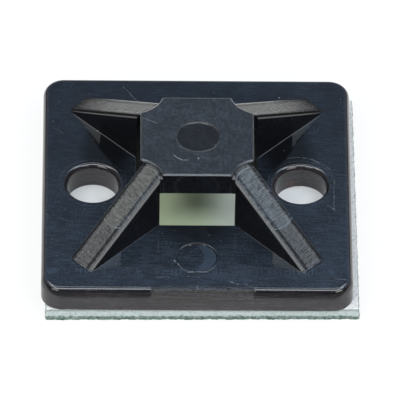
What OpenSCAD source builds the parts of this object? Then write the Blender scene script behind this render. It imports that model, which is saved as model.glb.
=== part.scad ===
// Cable tie mount with tie passages in two directions.
//
// A square moulded base carries a small plate on four sloping diagonal ribs.
// A tie threads under the plate along X or along Y, through a cross-shaped
// window in the base. Two holes take screws. The underside carries a
// double-sided foam pad, which still has its release liner on.
//
// Millimetres, +Z up. The origin is on the underside of the release liner,
// below the centre of the moulded body.

/* [Base] */
// Side of the square base
base_w = 28; // [26:0.5:40]
// Thickness of the base
base_t = 2.5; // [1.5:0.1:4]
// Corner radius of the base, seen from above
base_corner_r = 1.9; // [1:0.1:3.5]
// Round along the top edge of the base
base_edge_r = 0.45; // [0.2:0.05:0.9]

/* [Screw holes] */
// Diameter of each screw hole
hole_d = 4.7; // [3:0.1:5.8]
// Distance from the side of the base to the middle of the screw hole beside it
hole_inset = 4.55; // [4:0.05:5]
// Bevel around the mouth of each screw hole
hole_bevel = 0.2; // [0.1:0.05:0.4]

/* [Plate] */
// Side of the square plate that the ties pass under
plate_w = 10.2; // [9:0.1:12.4]
// Thickness of the plate
plate_t = 2.35; // [1.5:0.05:3.5]
// Radius of the hollow in each corner of the plate
hollow_r = 3; // [2.6:0.1:4]
// How deep each hollow goes in from the square corner of the plate
hollow_depth = 1.76; // [1.4:0.02:2]

/* [Tie passages] */
// Width of each passage
passage_w = 6.8; // [5:0.1:8.2]
// Height of each passage, from the top of the base to the plate
passage_h = 3.55; // [2:0.05:5]
// How far each arm of the window in the base reaches out past the plate
window_past = 0.4; // [0.2:0.05:0.6]

/* [Ribs] */
// Width of a rib at its foot
rib_w = 2.7; // [2:0.1:3.6]
// Distance from the square corner of the base in to the toe of a rib
rib_inset = 4.8; // [4:0.1:7]
// Height of the toe above the base
rib_toe_h = 0.1; // [0.05:0.05:0.5]
// Step down from the top of the plate to where a rib starts
rib_step = 0.27; // [0.1:0.01:0.6]
// Draft on each side of a rib, in degrees
rib_draft = 2; // [0:0.5:4]
// Round along the two top edges of a rib
rib_edge_r = 0.3; // [0.1:0.05:0.5]

/* [Ejector marks] */
// Diameter of the mark in the middle of the plate
plate_mark_d = 4.05; // [3:0.05:5]
// Diameter of the mark on the front margin of the base
base_mark_d = 3.85; // [3:0.05:4]
// Distance from the front edge of the base to the middle of its mark
base_mark_inset = 4.3; // [3.5:0.1:5]
// Depth of both marks
mark_depth = 0.06; // [0.02:0.01:0.2]

/* [Foam pad] */
// How far in from the left and right sides of the base the pad is cut
pad_inset_x = 0; // [0:0.1:1.5]
// How far in from the front and back of the base the pad is cut
pad_inset_y = 0.1; // [0:0.1:1.5]
// Thickness of the foam pad
pad_t = 1.1; // [0.5:0.1:3]
// How far along X the pad is stuck off the middle of the body
pad_shift = 0.5; // [-1:0.1:1]
// How far the pad is stuck out of square, in degrees
pad_turn = 0.6; // [-2:0.1:2]

/* [Release liner] */
// Thickness of the release liner
liner_t = 0.1; // [0.05:0.05:0.5]

/* [Hidden] */
$fn = 64;

// Heights of the faces, from the liner's underside up
pad_z = liner_t;
base_z = pad_z + pad_t;
base_top_z = base_z + base_t;
plate_z = base_top_z + passage_h;
plate_top_z = plate_z + plate_t;

// Distances from the middle out to the hollows, the window's ends and the toes
hollow_reach = plate_w * sqrt(0.5) - hollow_depth;
window_reach = plate_w / 2 + window_past;
rib_reach = base_w * sqrt(0.5) - rib_inset;

// The top of a rib runs straight from a hollow in the plate down to the toe
rib_top_z = plate_top_z - rib_step;
rib_fall = (rib_top_z - base_top_z - rib_toe_h) / (rib_reach - hollow_reach);
rib_apex_h = rib_top_z - base_top_z + rib_fall * hollow_reach;

// How far a cutting shape runs past the faces that it cuts
over = 1;
// Thickness of a slice that a hull starts or ends on
slice = 0.01;
// Facets on the rounds inside a hull
hull_fn = 32;

// Half of the section across the base, from its middle out to `reach`, with
// the top edge rounded
module base_section(reach) {
    square([reach, base_t - base_edge_r]);
    square([reach - base_edge_r, base_t]);
    translate([reach - base_edge_r, base_t - base_edge_r])
        circle(base_edge_r);
}

// The square slab: one strip out to each side, and a quarter turn in each corner
module base_slab() {
    straight = base_w / 2 - base_corner_r;
    translate([0, 0, base_z])
        for (turn = [0:90:270])
            rotate(turn) {
                translate([0, straight, 0])
                    rotate([90, 0, 0])
                        linear_extrude(height = 2 * straight)
                            base_section(base_w / 2);
                translate([straight, straight, 0])
                    rotate_extrude(angle = 90)
                        base_section(base_corner_r);
            }
}

// The plate, with a round hollow in each corner where a rib starts
module plate() {
    translate([0, 0, plate_z])
        difference() {
            translate([-plate_w / 2, -plate_w / 2, 0])
                cube([plate_w, plate_w, plate_t]);
            for (turn = [45:90:315])
                rotate(turn)
                    translate([hollow_reach + hollow_r, 0, -over])
                        cylinder(r = hollow_r, h = plate_t + 2 * over);
        }
}

// A slice across the top of a pair of ribs, `reach` from the middle, where
// the top is `h` above the base and the drafted sides have come in to meet it
module rib_top_slice(reach, h) {
    side = rib_w / 2 - h * tan(rib_draft) - rib_edge_r;
    translate([reach, 0, base_top_z + h])
        rotate([0, atan(rib_fall), 0])
            for (edge = [-side, side])
                translate([-slice, edge, -rib_edge_r])
                    rotate([0, 90, 0])
                        cylinder(r = rib_edge_r, h = slice, $fn = hull_fn);
}

// Two opposite ribs as one roof-shaped bar that runs down into the base
module rib_pair() {
    hull() {
        for (turn = [0, 180])
            rotate(turn) {
                rib_top_slice(0, rib_apex_h);
                rib_top_slice(rib_reach, rib_toe_h);
            }
        translate([-rib_reach, -rib_w / 2, base_top_z - over])
            cube([2 * rib_reach, rib_w, over]);
    }
}

// The four ribs, level where they run inside the plate
module ribs() {
    intersection() {
        union() {
            rotate(45) rib_pair();
            rotate(135) rib_pair();
        }
        translate([-base_w, -base_w, base_z])
            cube([2 * base_w, 2 * base_w, rib_top_z - base_z]);
    }
}

// Both passages, from inside the base up to the underside of the plate
module passages() {
    for (turn = [0, 90])
        rotate(turn)
            translate([-base_w, -passage_w / 2, base_z])
                cube([2 * base_w, passage_w, plate_z - base_z]);
}

// The cross-shaped window through the base
module window() {
    for (turn = [0, 90])
        rotate(turn)
            translate([-window_reach, -passage_w / 2, base_z - over])
                cube([2 * window_reach, passage_w, base_t + 2 * over]);
}

// The two screw holes, each with a bevelled mouth
module screw_holes() {
    for (side = [-1, 1])
        translate([side * (base_w / 2 - hole_inset), 0, 0]) {
            translate([0, 0, base_z - over])
                cylinder(d = hole_d, h = base_t + 2 * over);
            translate([0, 0, base_top_z - hole_bevel])
                cylinder(r1 = hole_d / 2, r2 = hole_d / 2 + 2 * hole_bevel, h = 2 * hole_bevel);
        }
}

// The shallow round marks of the ejector pins
module ejector_marks() {
    translate([0, 0, plate_top_z - mark_depth])
        cylinder(d = plate_mark_d, h = over);
    translate([0, base_mark_inset - base_w / 2, base_top_z - mark_depth])
        cylinder(d = base_mark_d, h = over);
}

// The moulded body
module mount_body() {
    color([0.13, 0.15, 0.18])
        difference() {
            union() {
                base_slab();
                difference() {
                    union() {
                        plate();
                        ribs();
                    }
                    passages();
                }
            }
            window();
            screw_holes();
            ejector_marks();
        }
}

// A sheet `t` thick with the outline of the pad, its underside at height `z`
module pad_sheet(z, t) {
    w = base_w - 2 * pad_inset_x;
    d = base_w - 2 * pad_inset_y;
    translate([pad_shift, 0, z])
        rotate(pad_turn)
            translate([-w / 2, -d / 2, 0])
                cube([w, d, t]);
}

// The foam pad, whole under the window and the screw holes
module foam_pad() {
    color([0.86, 0.90, 0.84])
        pad_sheet(pad_z, pad_t);
}

// The release liner, cut with the pad
module release_liner() {
    color([0.20, 0.36, 0.31])
        pad_sheet(0, liner_t);
}

mount_body();
foam_pad();
release_liner();
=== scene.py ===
"""Looks of a moulded cable tie mount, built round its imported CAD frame.

The mount is a black nylon moulding on a foam pad with its release liner. Lengths in the
classes are millimetres in the frame's axes, with +Z up and the liner's underside at zero.
Meshes are made in metres.
"""

import logging
import math
from dataclasses import dataclass, field
from enum import Enum
from typing import Union

import bmesh
import bpy
import numpy as np
from mathutils import Matrix, Vector


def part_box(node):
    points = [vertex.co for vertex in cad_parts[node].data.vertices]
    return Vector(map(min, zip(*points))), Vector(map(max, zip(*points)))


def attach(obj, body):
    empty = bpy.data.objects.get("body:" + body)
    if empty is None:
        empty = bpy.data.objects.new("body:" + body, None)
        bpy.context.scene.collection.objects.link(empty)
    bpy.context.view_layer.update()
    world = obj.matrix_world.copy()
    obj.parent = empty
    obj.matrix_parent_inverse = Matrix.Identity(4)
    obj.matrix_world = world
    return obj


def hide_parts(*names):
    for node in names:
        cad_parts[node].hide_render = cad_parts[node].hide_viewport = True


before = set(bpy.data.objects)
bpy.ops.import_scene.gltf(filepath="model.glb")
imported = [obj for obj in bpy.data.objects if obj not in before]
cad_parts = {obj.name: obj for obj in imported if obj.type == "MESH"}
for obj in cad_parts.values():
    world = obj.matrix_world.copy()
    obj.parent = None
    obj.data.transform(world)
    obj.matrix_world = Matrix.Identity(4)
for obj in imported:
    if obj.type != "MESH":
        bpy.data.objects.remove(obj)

LOG = logging.getLogger("tie_mount")
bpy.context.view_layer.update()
MM = 0.001
BODY = "root"
ROUND_STEPS = 96
Socket = bpy.types.NodeSocket
Value = Union[float, tuple, Socket]


# ---------------------------------------------------------------------------------------
# Outlines and solids
# ---------------------------------------------------------------------------------------


@dataclass(frozen=True)
class Outline:
    """A closed plane curve, run anticlockwise.

    Attributes:
        points: The curve's points, one row each.
        normals: The unit normal at each point, pointing out of the shape.
    """

    points: np.ndarray
    normals: np.ndarray

    def turned(self, degrees: float) -> "Outline":
        """The same outline turned about the origin, anticlockwise."""
        spin = turn_matrix(degrees)
        return Outline(self.points @ spin.T, self.normals @ spin.T)


def turn_matrix(degrees: float) -> np.ndarray:
    """Plane rotation matrix for an anticlockwise turn."""
    angle = math.radians(degrees)
    return np.array([[math.cos(angle), -math.sin(angle)], [math.sin(angle), math.cos(angle)]])


def filleted(corners: np.ndarray, radii: np.ndarray, arc_steps: int, side_steps: int) -> Outline:
    """Outline of a polygon whose corners are rounded.

    An arc of radius r touches both sides at r * tan(turn / 2) from the corner. Its
    normals turn evenly from one side's normal to the next, and its points are
    centre +/- r * normal, with the minus sign where the corner is hollow.

    Args:
        corners: The polygon's corners, anticlockwise.
        radii: The radius at each corner.
        arc_steps: Steps along each arc.
        side_steps: Steps along each straight side.

    Returns:
        The rounded outline, starting at the first corner's arc.
    """
    before = corners - np.roll(corners, 1, axis=0)
    after = np.roll(before, -1, axis=0)
    before = before / np.linalg.norm(before, axis=1, keepdims=True)
    after = after / np.linalg.norm(after, axis=1, keepdims=True)
    cross = before[:, 0] * after[:, 1] - before[:, 1] * after[:, 0]
    turn = np.arctan2(cross, (before * after).sum(axis=1))
    sign = np.sign(turn)[:, None]
    start = corners - before * (radii * np.tan(np.abs(turn) / 2))[:, None]
    left = np.stack([-before[:, 1], before[:, 0]], axis=1)
    centre = start + sign * radii[:, None] * left

    first = np.arctan2(-left[:, 1], -left[:, 0])[:, None]
    angle = first + turn[:, None] * np.linspace(0, 1, arc_steps + 1)
    arc_normals = np.stack([np.cos(angle), np.sin(angle)], axis=2)
    arcs = centre[:, None] + (sign * radii[:, None])[:, :, None] * arc_normals

    share = np.linspace(0, 1, side_steps + 1)[1:-1][None, :, None]
    next_start = np.roll(arcs[:, :1], -1, axis=0)
    sides = arcs[:, -1:] * (1 - share) + next_start * share
    side_normals = np.broadcast_to(arc_normals[:, -1:], sides.shape)

    points = np.concatenate([arcs, sides], axis=1).reshape(-1, 2)
    normals = np.concatenate([arc_normals, side_normals], axis=1).reshape(-1, 2)
    return Outline(points, normals)


def rectangle(width: float, depth: float) -> np.ndarray:
    """Corners of a rectangle about the origin, anticlockwise."""
    return np.array([[1, 1], [-1, 1], [-1, -1], [1, -1]]) * np.array([width, depth]) / 2


def cross_corners(reach: float, half: float) -> np.ndarray:
    """Corners of an upright cross, anticlockwise.

    Args:
        reach: Length of each arm from the middle.
        half: Half of an arm's width.
    """
    arm = np.array([[half, half], [half, reach], [-half, reach]])
    return np.concatenate([arm @ turn_matrix(quarter).T for quarter in (0, 90, 180, 270)])


def circle(radius: float, steps: int) -> Outline:
    """A circle about the origin."""
    angle = np.linspace(0, 2 * math.pi, steps, endpoint=False)
    normals = np.stack([np.cos(angle), np.sin(angle)], axis=1)
    return Outline(radius * normals, normals)


def walls(height: float, bottom: float, top: tuple, steps: int) -> np.ndarray:
    """Side of a solid from its underside up, as (inset, height) pairs.

    The round at the bottom is a quarter circle: inset = r * (1 - sin a),
    height = r * (1 - cos a). The one at the top is a quarter ellipse, `in` wide and
    `down` deep: inset = in * (1 - cos a), height = H - down * (1 - sin a).

    Args:
        height: Height of the solid.
        bottom: Radius of the round at the bottom.
        top: Width and depth of the round at the top.
        steps: Steps round each quarter.
    """
    angle = np.linspace(0, math.pi / 2, steps + 1)
    low = np.stack([bottom * (1 - np.sin(angle)), bottom * (1 - np.cos(angle))], axis=1)
    high = np.stack([top[0] * (1 - np.cos(angle)), height - top[1] * (1 - np.sin(angle))], axis=1)
    return np.concatenate([low, high])


def rolled_edge(edge: float, tail: float, steps: int) -> np.ndarray:
    """Edge that turns from upright to level, as (inset, drop) pairs from the side up.

    Its radius eases from `tail` to `edge` while the face turns through its first 40
    degrees: r(a) = tail + (edge - tail) * smooth(a / 40). The inset is the sum of
    r(a) * sin a over the turn, and the drop the sum of r(a) * cos a still to come.
    """
    angle = np.radians(np.linspace(0, 90, steps + 1))
    middle = (angle[1:] + angle[:-1]) / 2
    share = np.clip(middle / math.radians(40), 0, 1)
    radius = tail + (edge - tail) * share * share * (3 - 2 * share)
    step = radius * (angle[1] - angle[0])
    inset = np.concatenate([[0.0], np.cumsum(step * np.sin(middle))])
    climb = np.concatenate([[0.0], np.cumsum(step * np.cos(middle))])
    return np.stack([inset, climb[-1] - climb], axis=1)


def soft_chamfer(width: np.ndarray, depth: np.ndarray, steps: int) -> tuple:
    """Chamfer with softened corners, as insets and drops from the side up.

    Each corner C is a quadratic curve between P and Q, a quarter of the chamfer away
    from it: (1 - t)^2 P + 2 t (1 - t) C + t^2 Q.

    Args:
        width: How far the chamfer reaches in. An array gives one chamfer to a row.
        depth: How far it reaches down.
        steps: Steps round each corner.

    Returns:
        The insets and the drops.
    """
    t = np.linspace(0, 1, steps + 1)
    start, middle, stop = (1 - t) ** 2, 2 * t * (1 - t), t**2
    share = np.concatenate([0.25 * stop, start * 0.75 + middle + stop * 1.25])
    inset = width * share
    share = np.concatenate([start * 1.25 + middle + stop * 0.75, 0.25 * start])
    return inset, depth * share


def roughness(run: np.ndarray, wave: float) -> np.ndarray:
    """Uneven wander from about -1 to 1: three sines whose lengths don't divide each other."""
    turn = 2 * math.pi * run / wave
    return (np.sin(turn) + 0.7 * np.sin(2.3 * turn + 1.1) + 0.5 * np.sin(5.1 * turn + 2.3)) / 2


def flare(height: float, mouth_round: float, steps: int, over: float = 1.0) -> np.ndarray:
    """Side of a cutter that rounds the mouth of its hole, as (inset, height) pairs.

    The round is a quarter circle outside the hole, stopped a little short of level so
    that it still crosses the face: inset = -r * (1 - cos a), height = H - r + r * sin a.

    Args:
        height: Height of the face that the hole opens in.
        mouth_round: Radius of the round.
        steps: Steps round the quarter circle.
        over: How far the cutter runs past the solid.
    """
    angle = np.radians(np.linspace(0, 80, steps + 1))
    lift = mouth_round * (1 - math.sin(angle[-1])) + 0.002
    inset = -mouth_round * (1 - np.cos(angle))
    mouth = np.stack([inset, height - mouth_round * (1 - np.sin(angle)) + lift], axis=1)
    return np.concatenate([[[0.0, -over]], mouth, [[mouth[-1, 0], height + over]]])


def stacked(outline: Outline, profile: np.ndarray, base: float = 0.0) -> np.ndarray:
    """Rings of an outline carried up a side profile.

    Args:
        outline: The shape seen from above.
        profile: (inset, height) pairs.
        base: Height that the profile starts from.

    Returns:
        Rings, points and coordinates, as one array.
    """
    plan = outline.points[None] - profile[:, 0][:, None, None] * outline.normals[None]
    height = np.broadcast_to((base + profile[:, 1])[:, None, None], plan.shape[:2] + (1,))
    return np.concatenate([plan, height], axis=2)


def lofted(name: str, rings: np.ndarray) -> bpy.types.Object:
    """Closed solid through a stack of rings, with a flat cap on each end.

    Args:
        name: Name of the object.
        rings: Array of rings, points and coordinates, in millimetres.
    """
    count, around = rings.shape[:2]
    ring = np.arange(count - 1)[:, None] * around
    here = np.arange(around)[None]
    there = np.roll(here, -1, axis=1)
    quads = np.stack([ring + here, ring + there, ring + around + there, ring + around + here], axis=2)
    faces = quads.reshape(-1, 4).tolist()
    faces.append(list(range(around))[::-1])
    faces.append(list(range((count - 1) * around, count * around)))
    return solid(name, rings.reshape(-1, 3), faces)


def ringed(name: str, section: np.ndarray, centre: tuple, steps: int = ROUND_STEPS) -> bpy.types.Object:
    """Closed ring: a closed section of (radius, height) pairs turned about an upright axis.

    A point is centre + (radius * cos a, radius * sin a, height).

    Args:
        name: Name of the object.
        section: The section's points.
        centre: Point of the axis that heights start from.
        steps: Steps round the axis.
    """
    angle = np.linspace(0, 2 * math.pi, steps, endpoint=False)
    plan = section[:, 0][:, None, None] * np.stack([np.cos(angle), np.sin(angle)], axis=1)[None]
    height = np.broadcast_to(section[:, 1][:, None, None], plan.shape[:2] + (1,))
    rings = np.concatenate([plan, height], axis=2) + np.array(centre)
    count = len(section)
    row = np.arange(count)[:, None] * steps
    next_row = np.roll(row, -1, axis=0)
    here = np.arange(steps)[None]
    there = np.roll(here, -1, axis=1)
    quads = np.stack([row + here, row + there, next_row + there, next_row + here], axis=2)
    return solid(name, rings.reshape(-1, 3), quads.reshape(-1, 4).tolist())


def solid(name: str, points: np.ndarray, faces: list) -> bpy.types.Object:
    """Mesh object from points in millimetres, with its faces turned outwards."""
    mesh = bpy.data.meshes.new(name)
    mesh.from_pydata((points * MM).tolist(), [], faces)
    work = bmesh.new()
    work.from_mesh(mesh)
    bmesh.ops.recalc_face_normals(work, faces=work.faces)
    work.to_mesh(mesh)
    work.free()
    piece = bpy.data.objects.new(name, mesh)
    bpy.context.scene.collection.objects.link(piece)
    return piece


class Cut(Enum):
    """What a boolean does with its second solid."""

    JOIN = "UNION"
    REMOVE = "DIFFERENCE"


def combined(piece: bpy.types.Object, tool: bpy.types.Object, cut: Cut) -> bpy.types.Object:
    """Joins a solid to a piece, or removes it, and deletes the solid."""
    modifier = piece.modifiers.new("cut", "BOOLEAN")
    modifier.operation = cut.value
    modifier.solver = "MANIFOLD"
    modifier.object = tool
    graph = bpy.context.evaluated_depsgraph_get()
    graph.update()
    result = bpy.data.meshes.new_from_object(piece.evaluated_get(graph))
    piece.modifiers.clear()
    piece.data = result
    result.name = piece.name
    bpy.data.objects.remove(tool)
    return piece


def smoothed(piece: bpy.types.Object, sharp_degrees: float) -> None:
    """Shades a piece smooth up to an angle, with flat faces keeping their own normals."""
    mesh = piece.data
    mesh.polygons.foreach_set("use_smooth", np.ones(len(mesh.polygons), bool))
    mesh.set_sharp_from_angle(angle=math.radians(sharp_degrees))
    weighted = piece.modifiers.new("flat_normals", "WEIGHTED_NORMAL")
    weighted.keep_sharp = True
    weighted.weight = 100


def box_mm(node: str) -> tuple[np.ndarray, np.ndarray]:
    """Lowest and highest corner of a CAD node, in millimetres."""
    low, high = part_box(node)
    return np.array(low) / MM, np.array(high) / MM


# ---------------------------------------------------------------------------------------
# Shader nodes
# ---------------------------------------------------------------------------------------


class Paint:
    """A material's node tree, with short calls that each add one node.

    Attributes:
        material: The material.
        shader: Its Principled node.
    """

    def __init__(self, name: str) -> None:
        """Starts a material with a Principled shader wired to its output."""
        self.material = bpy.data.materials.new(name)
        self.material.use_nodes = True
        self.tree = self.material.node_tree
        self.tree.nodes.clear()
        self.shader = self.tree.nodes.new("ShaderNodeBsdfPrincipled")
        self.output = self.tree.nodes.new("ShaderNodeOutputMaterial")
        self.tree.links.new(self.shader.outputs[0], self.output.inputs["Surface"])

    def node(self, kind: str, inputs: dict, **settings: object) -> bpy.types.Node:
        """Adds a node, sets its options and feeds its inputs with values or sockets."""
        made = self.tree.nodes.new("ShaderNode" + kind)
        for key, value in settings.items():
            setattr(made, key, value)
        for key, value in inputs.items():
            self.feed(made.inputs[key], value)
        return made

    def feed(self, socket: Socket, value: Value) -> None:
        """Links a socket to an input, or sets the input's value."""
        if isinstance(value, Socket):
            self.tree.links.new(value, socket)
        else:
            socket.default_value = value

    def place(self) -> Socket:
        """Object coordinates in millimetres."""
        where = self.node("TexCoord", {}).outputs["Object"]
        return self.node("VectorMath", {0: where, "Scale": 1 / MM}, operation="SCALE").outputs[0]

    def axes(self, vector: Socket) -> tuple:
        """The three parts of a vector."""
        split = self.node("SeparateXYZ", {0: vector})
        return split.outputs[0], split.outputs[1], split.outputs[2]

    def vector(self, x: Value, y: Value, z: Value) -> Socket:
        """A vector from three parts."""
        return self.node("CombineXYZ", {0: x, 1: y, 2: z}).outputs[0]

    def stretch(self, vector: Socket, scale: tuple, turn: float = 0.0) -> Socket:
        """A vector turned about Z by `turn` degrees and then scaled along each axis."""
        inputs = {"Vector": vector, "Rotation": (0, 0, math.radians(turn)), "Scale": (1, 1, 1)}
        spun = self.node("Mapping", inputs).outputs[0]
        return self.node("VectorMath", {0: spun, 1: scale}, operation="MULTIPLY").outputs[0]

    def noise(self, vector: Socket, scale: float, detail: float = 2.0, rough: float = 0.5) -> Socket:
        """Noise from 0 to 1."""
        inputs = {"Vector": vector, "Scale": scale, "Detail": detail, "Roughness": rough}
        return self.node("TexNoise", inputs).outputs[0]

    def cells(self, vector: Socket, scale: float) -> Socket:
        """Distance to the nearest cell point, in cells."""
        return self.node("TexVoronoi", {"Vector": vector, "Scale": scale}).outputs["Distance"]

    def math(self, operation: str, first: Value, second: Value = 0.0, clamp: bool = False) -> Socket:
        """One arithmetic operation."""
        inputs = {0: first, 1: second}
        return self.node("Math", inputs, operation=operation, use_clamp=clamp).outputs[0]

    def plus(self, first: Value, second: Value) -> Socket:
        """Sum of two numbers."""
        return self.math("ADD", first, second)

    def minus(self, first: Value, second: Value) -> Socket:
        """A number less another."""
        return self.math("SUBTRACT", first, second)

    def rest(self, share: Value) -> Socket:
        """What a share leaves of one, held from 0 to 1."""
        return self.math("SUBTRACT", 1.0, share, clamp=True)

    def size(self, value: Value) -> Socket:
        """A number without its sign."""
        return self.math("ABSOLUTE", value)

    def both(self, *masks: Value) -> Socket:
        """Product of several masks."""
        total = masks[0]
        for mask in masks[1:]:
            total = self.math("MULTIPLY", total, mask)
        return total

    def either(self, *masks: Value) -> Socket:
        """The strongest of several masks."""
        total = masks[0]
        for mask in masks[1:]:
            total = self.math("MAXIMUM", total, mask)
        return total

    def span(
        self, value: Value, start: float, stop: float, low: float = 0.0, high: float = 1.0
    ) -> Socket:
        """Maps start..stop smoothly to low..high, held at the ends."""
        inputs = {"Value": value, "From Min": start, "From Max": stop, "To Min": low, "To Max": high}
        return self.node("MapRange", inputs, interpolation_type="SMOOTHSTEP").outputs[0]

    def mix(self, share: Value, first: Value, second: Value) -> Socket:
        """Blend of two numbers."""
        return self.node("Mix", {0: share, 2: first, 3: second}, data_type="FLOAT").outputs[0]

    def tint(self, share: Value, first: Value, second: Value) -> Socket:
        """Blend of two colours."""
        return self.node("Mix", {0: share, 6: first, 7: second}, data_type="RGBA").outputs[2]

    def attribute(self, name: str) -> Socket:
        """A number stored on the mesh."""
        return self.node("Attribute", {}, attribute_name=name).outputs["Fac"]

    def facing(self) -> Socket:
        """How far a face looks up, from -1 to 1."""
        normal = self.node("NewGeometry", {}).outputs["Normal"]
        return self.axes(normal)[2]

    def specks(self, vector: Socket, scale: float, radius: float, share: float) -> Socket:
        """Scattered dots, from 0 to 1.

        Args:
            vector: Place in millimetres.
            scale: Cells to a millimetre.
            radius: Radius of a dot, in millimetres.
            share: Share of the cells that hold a dot.
        """
        cell = self.node("TexVoronoi", {"Vector": vector, "Scale": scale})
        dot = self.span(cell.outputs["Distance"], radius * scale * 1.3, radius * scale * 0.5)
        lot = self.axes(cell.outputs["Color"])[0]
        return self.math("MULTIPLY", dot, self.math("LESS_THAN", lot, share))

    def line(self, vector: Socket, mark: "Line") -> Socket:
        """A fine straight mark, from 0 to 1: thin across it, and faded at its ends."""
        reach = math.dist(mark.start, mark.end)
        angle = math.atan2(mark.end[1] - mark.start[1], mark.end[0] - mark.start[0])
        inputs = {"Vector": vector, "Location": (*mark.start, 0)}
        inputs |= {"Rotation": (0, 0, angle), "Scale": (1, 1, 1)}
        along, across, _ = self.axes(self.node("Mapping", inputs, vector_type="TEXTURE").outputs[0])
        thin = self.span(self.size(across), mark.width, mark.width * 0.3, 0.0, mark.strength)
        middle = self.size(self.minus(along, reach / 2))
        return self.math("MULTIPLY", thin, self.span(middle, reach / 2 + 0.06, reach / 2 - 0.06))

    def lines(self, vector: Socket, marks: tuple) -> Socket:
        """The strongest of several straight marks."""
        return self.either(*(self.line(vector, mark) for mark in marks))

    def apart(self, vector: Socket, point: tuple) -> Socket:
        """Distance from a point, in millimetres."""
        return self.node("VectorMath", {0: vector, 1: point}, operation="DISTANCE").outputs["Value"]

    def reach(self, vector: Socket, centre: tuple) -> Socket:
        """Distance from an upright axis, in millimetres."""
        flat = self.node("VectorMath", {0: vector, 1: (1, 1, 0)}, operation="MULTIPLY").outputs[0]
        return self.apart(flat, (*centre, 0))

    def scaled(self, colour: Value, factor: Value) -> Socket:
        """A colour times a number."""
        return self.node("VectorMath", {0: colour, "Scale": factor}, operation="SCALE").outputs[0]

    def added(self, first: Value, second: Value) -> Socket:
        """Sum of two colours."""
        return self.node("VectorMath", {0: first, 1: second}, operation="ADD").outputs[0]

    def laid(self, film: Socket, colour: tuple, share: Value) -> Socket:
        """A film with more of a colour on it: film + colour * share."""
        return self.added(film, self.scaled(colour, share))

    def bump(self, height: Value, distance_mm: float, normal: Union[Socket, None] = None) -> Socket:
        """Normal tilted by a height map whose 0 to 1 stands for a distance."""
        inputs = {"Height": height, "Distance": distance_mm * MM, "Strength": 1.0}
        if normal is not None:
            inputs["Normal"] = normal
        return self.node("Bump", inputs).outputs[0]

    def set(self, **values: Value) -> None:
        """Feeds Principled inputs, named with underscores for spaces."""
        for key, value in values.items():
            self.feed(self.shader.inputs[key.replace("_", " ")], value)


@dataclass(frozen=True)
class Line:
    """A fine straight mark on a face, in millimetres.

    Attributes:
        start: One end, seen from above.
        end: The other end.
        width: Half of its width, out to where it fades away.
        strength: How plain it is, from 0 to 1.
    """

    start: tuple
    end: tuple
    width: float = 0.06
    strength: float = 1.0


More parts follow.
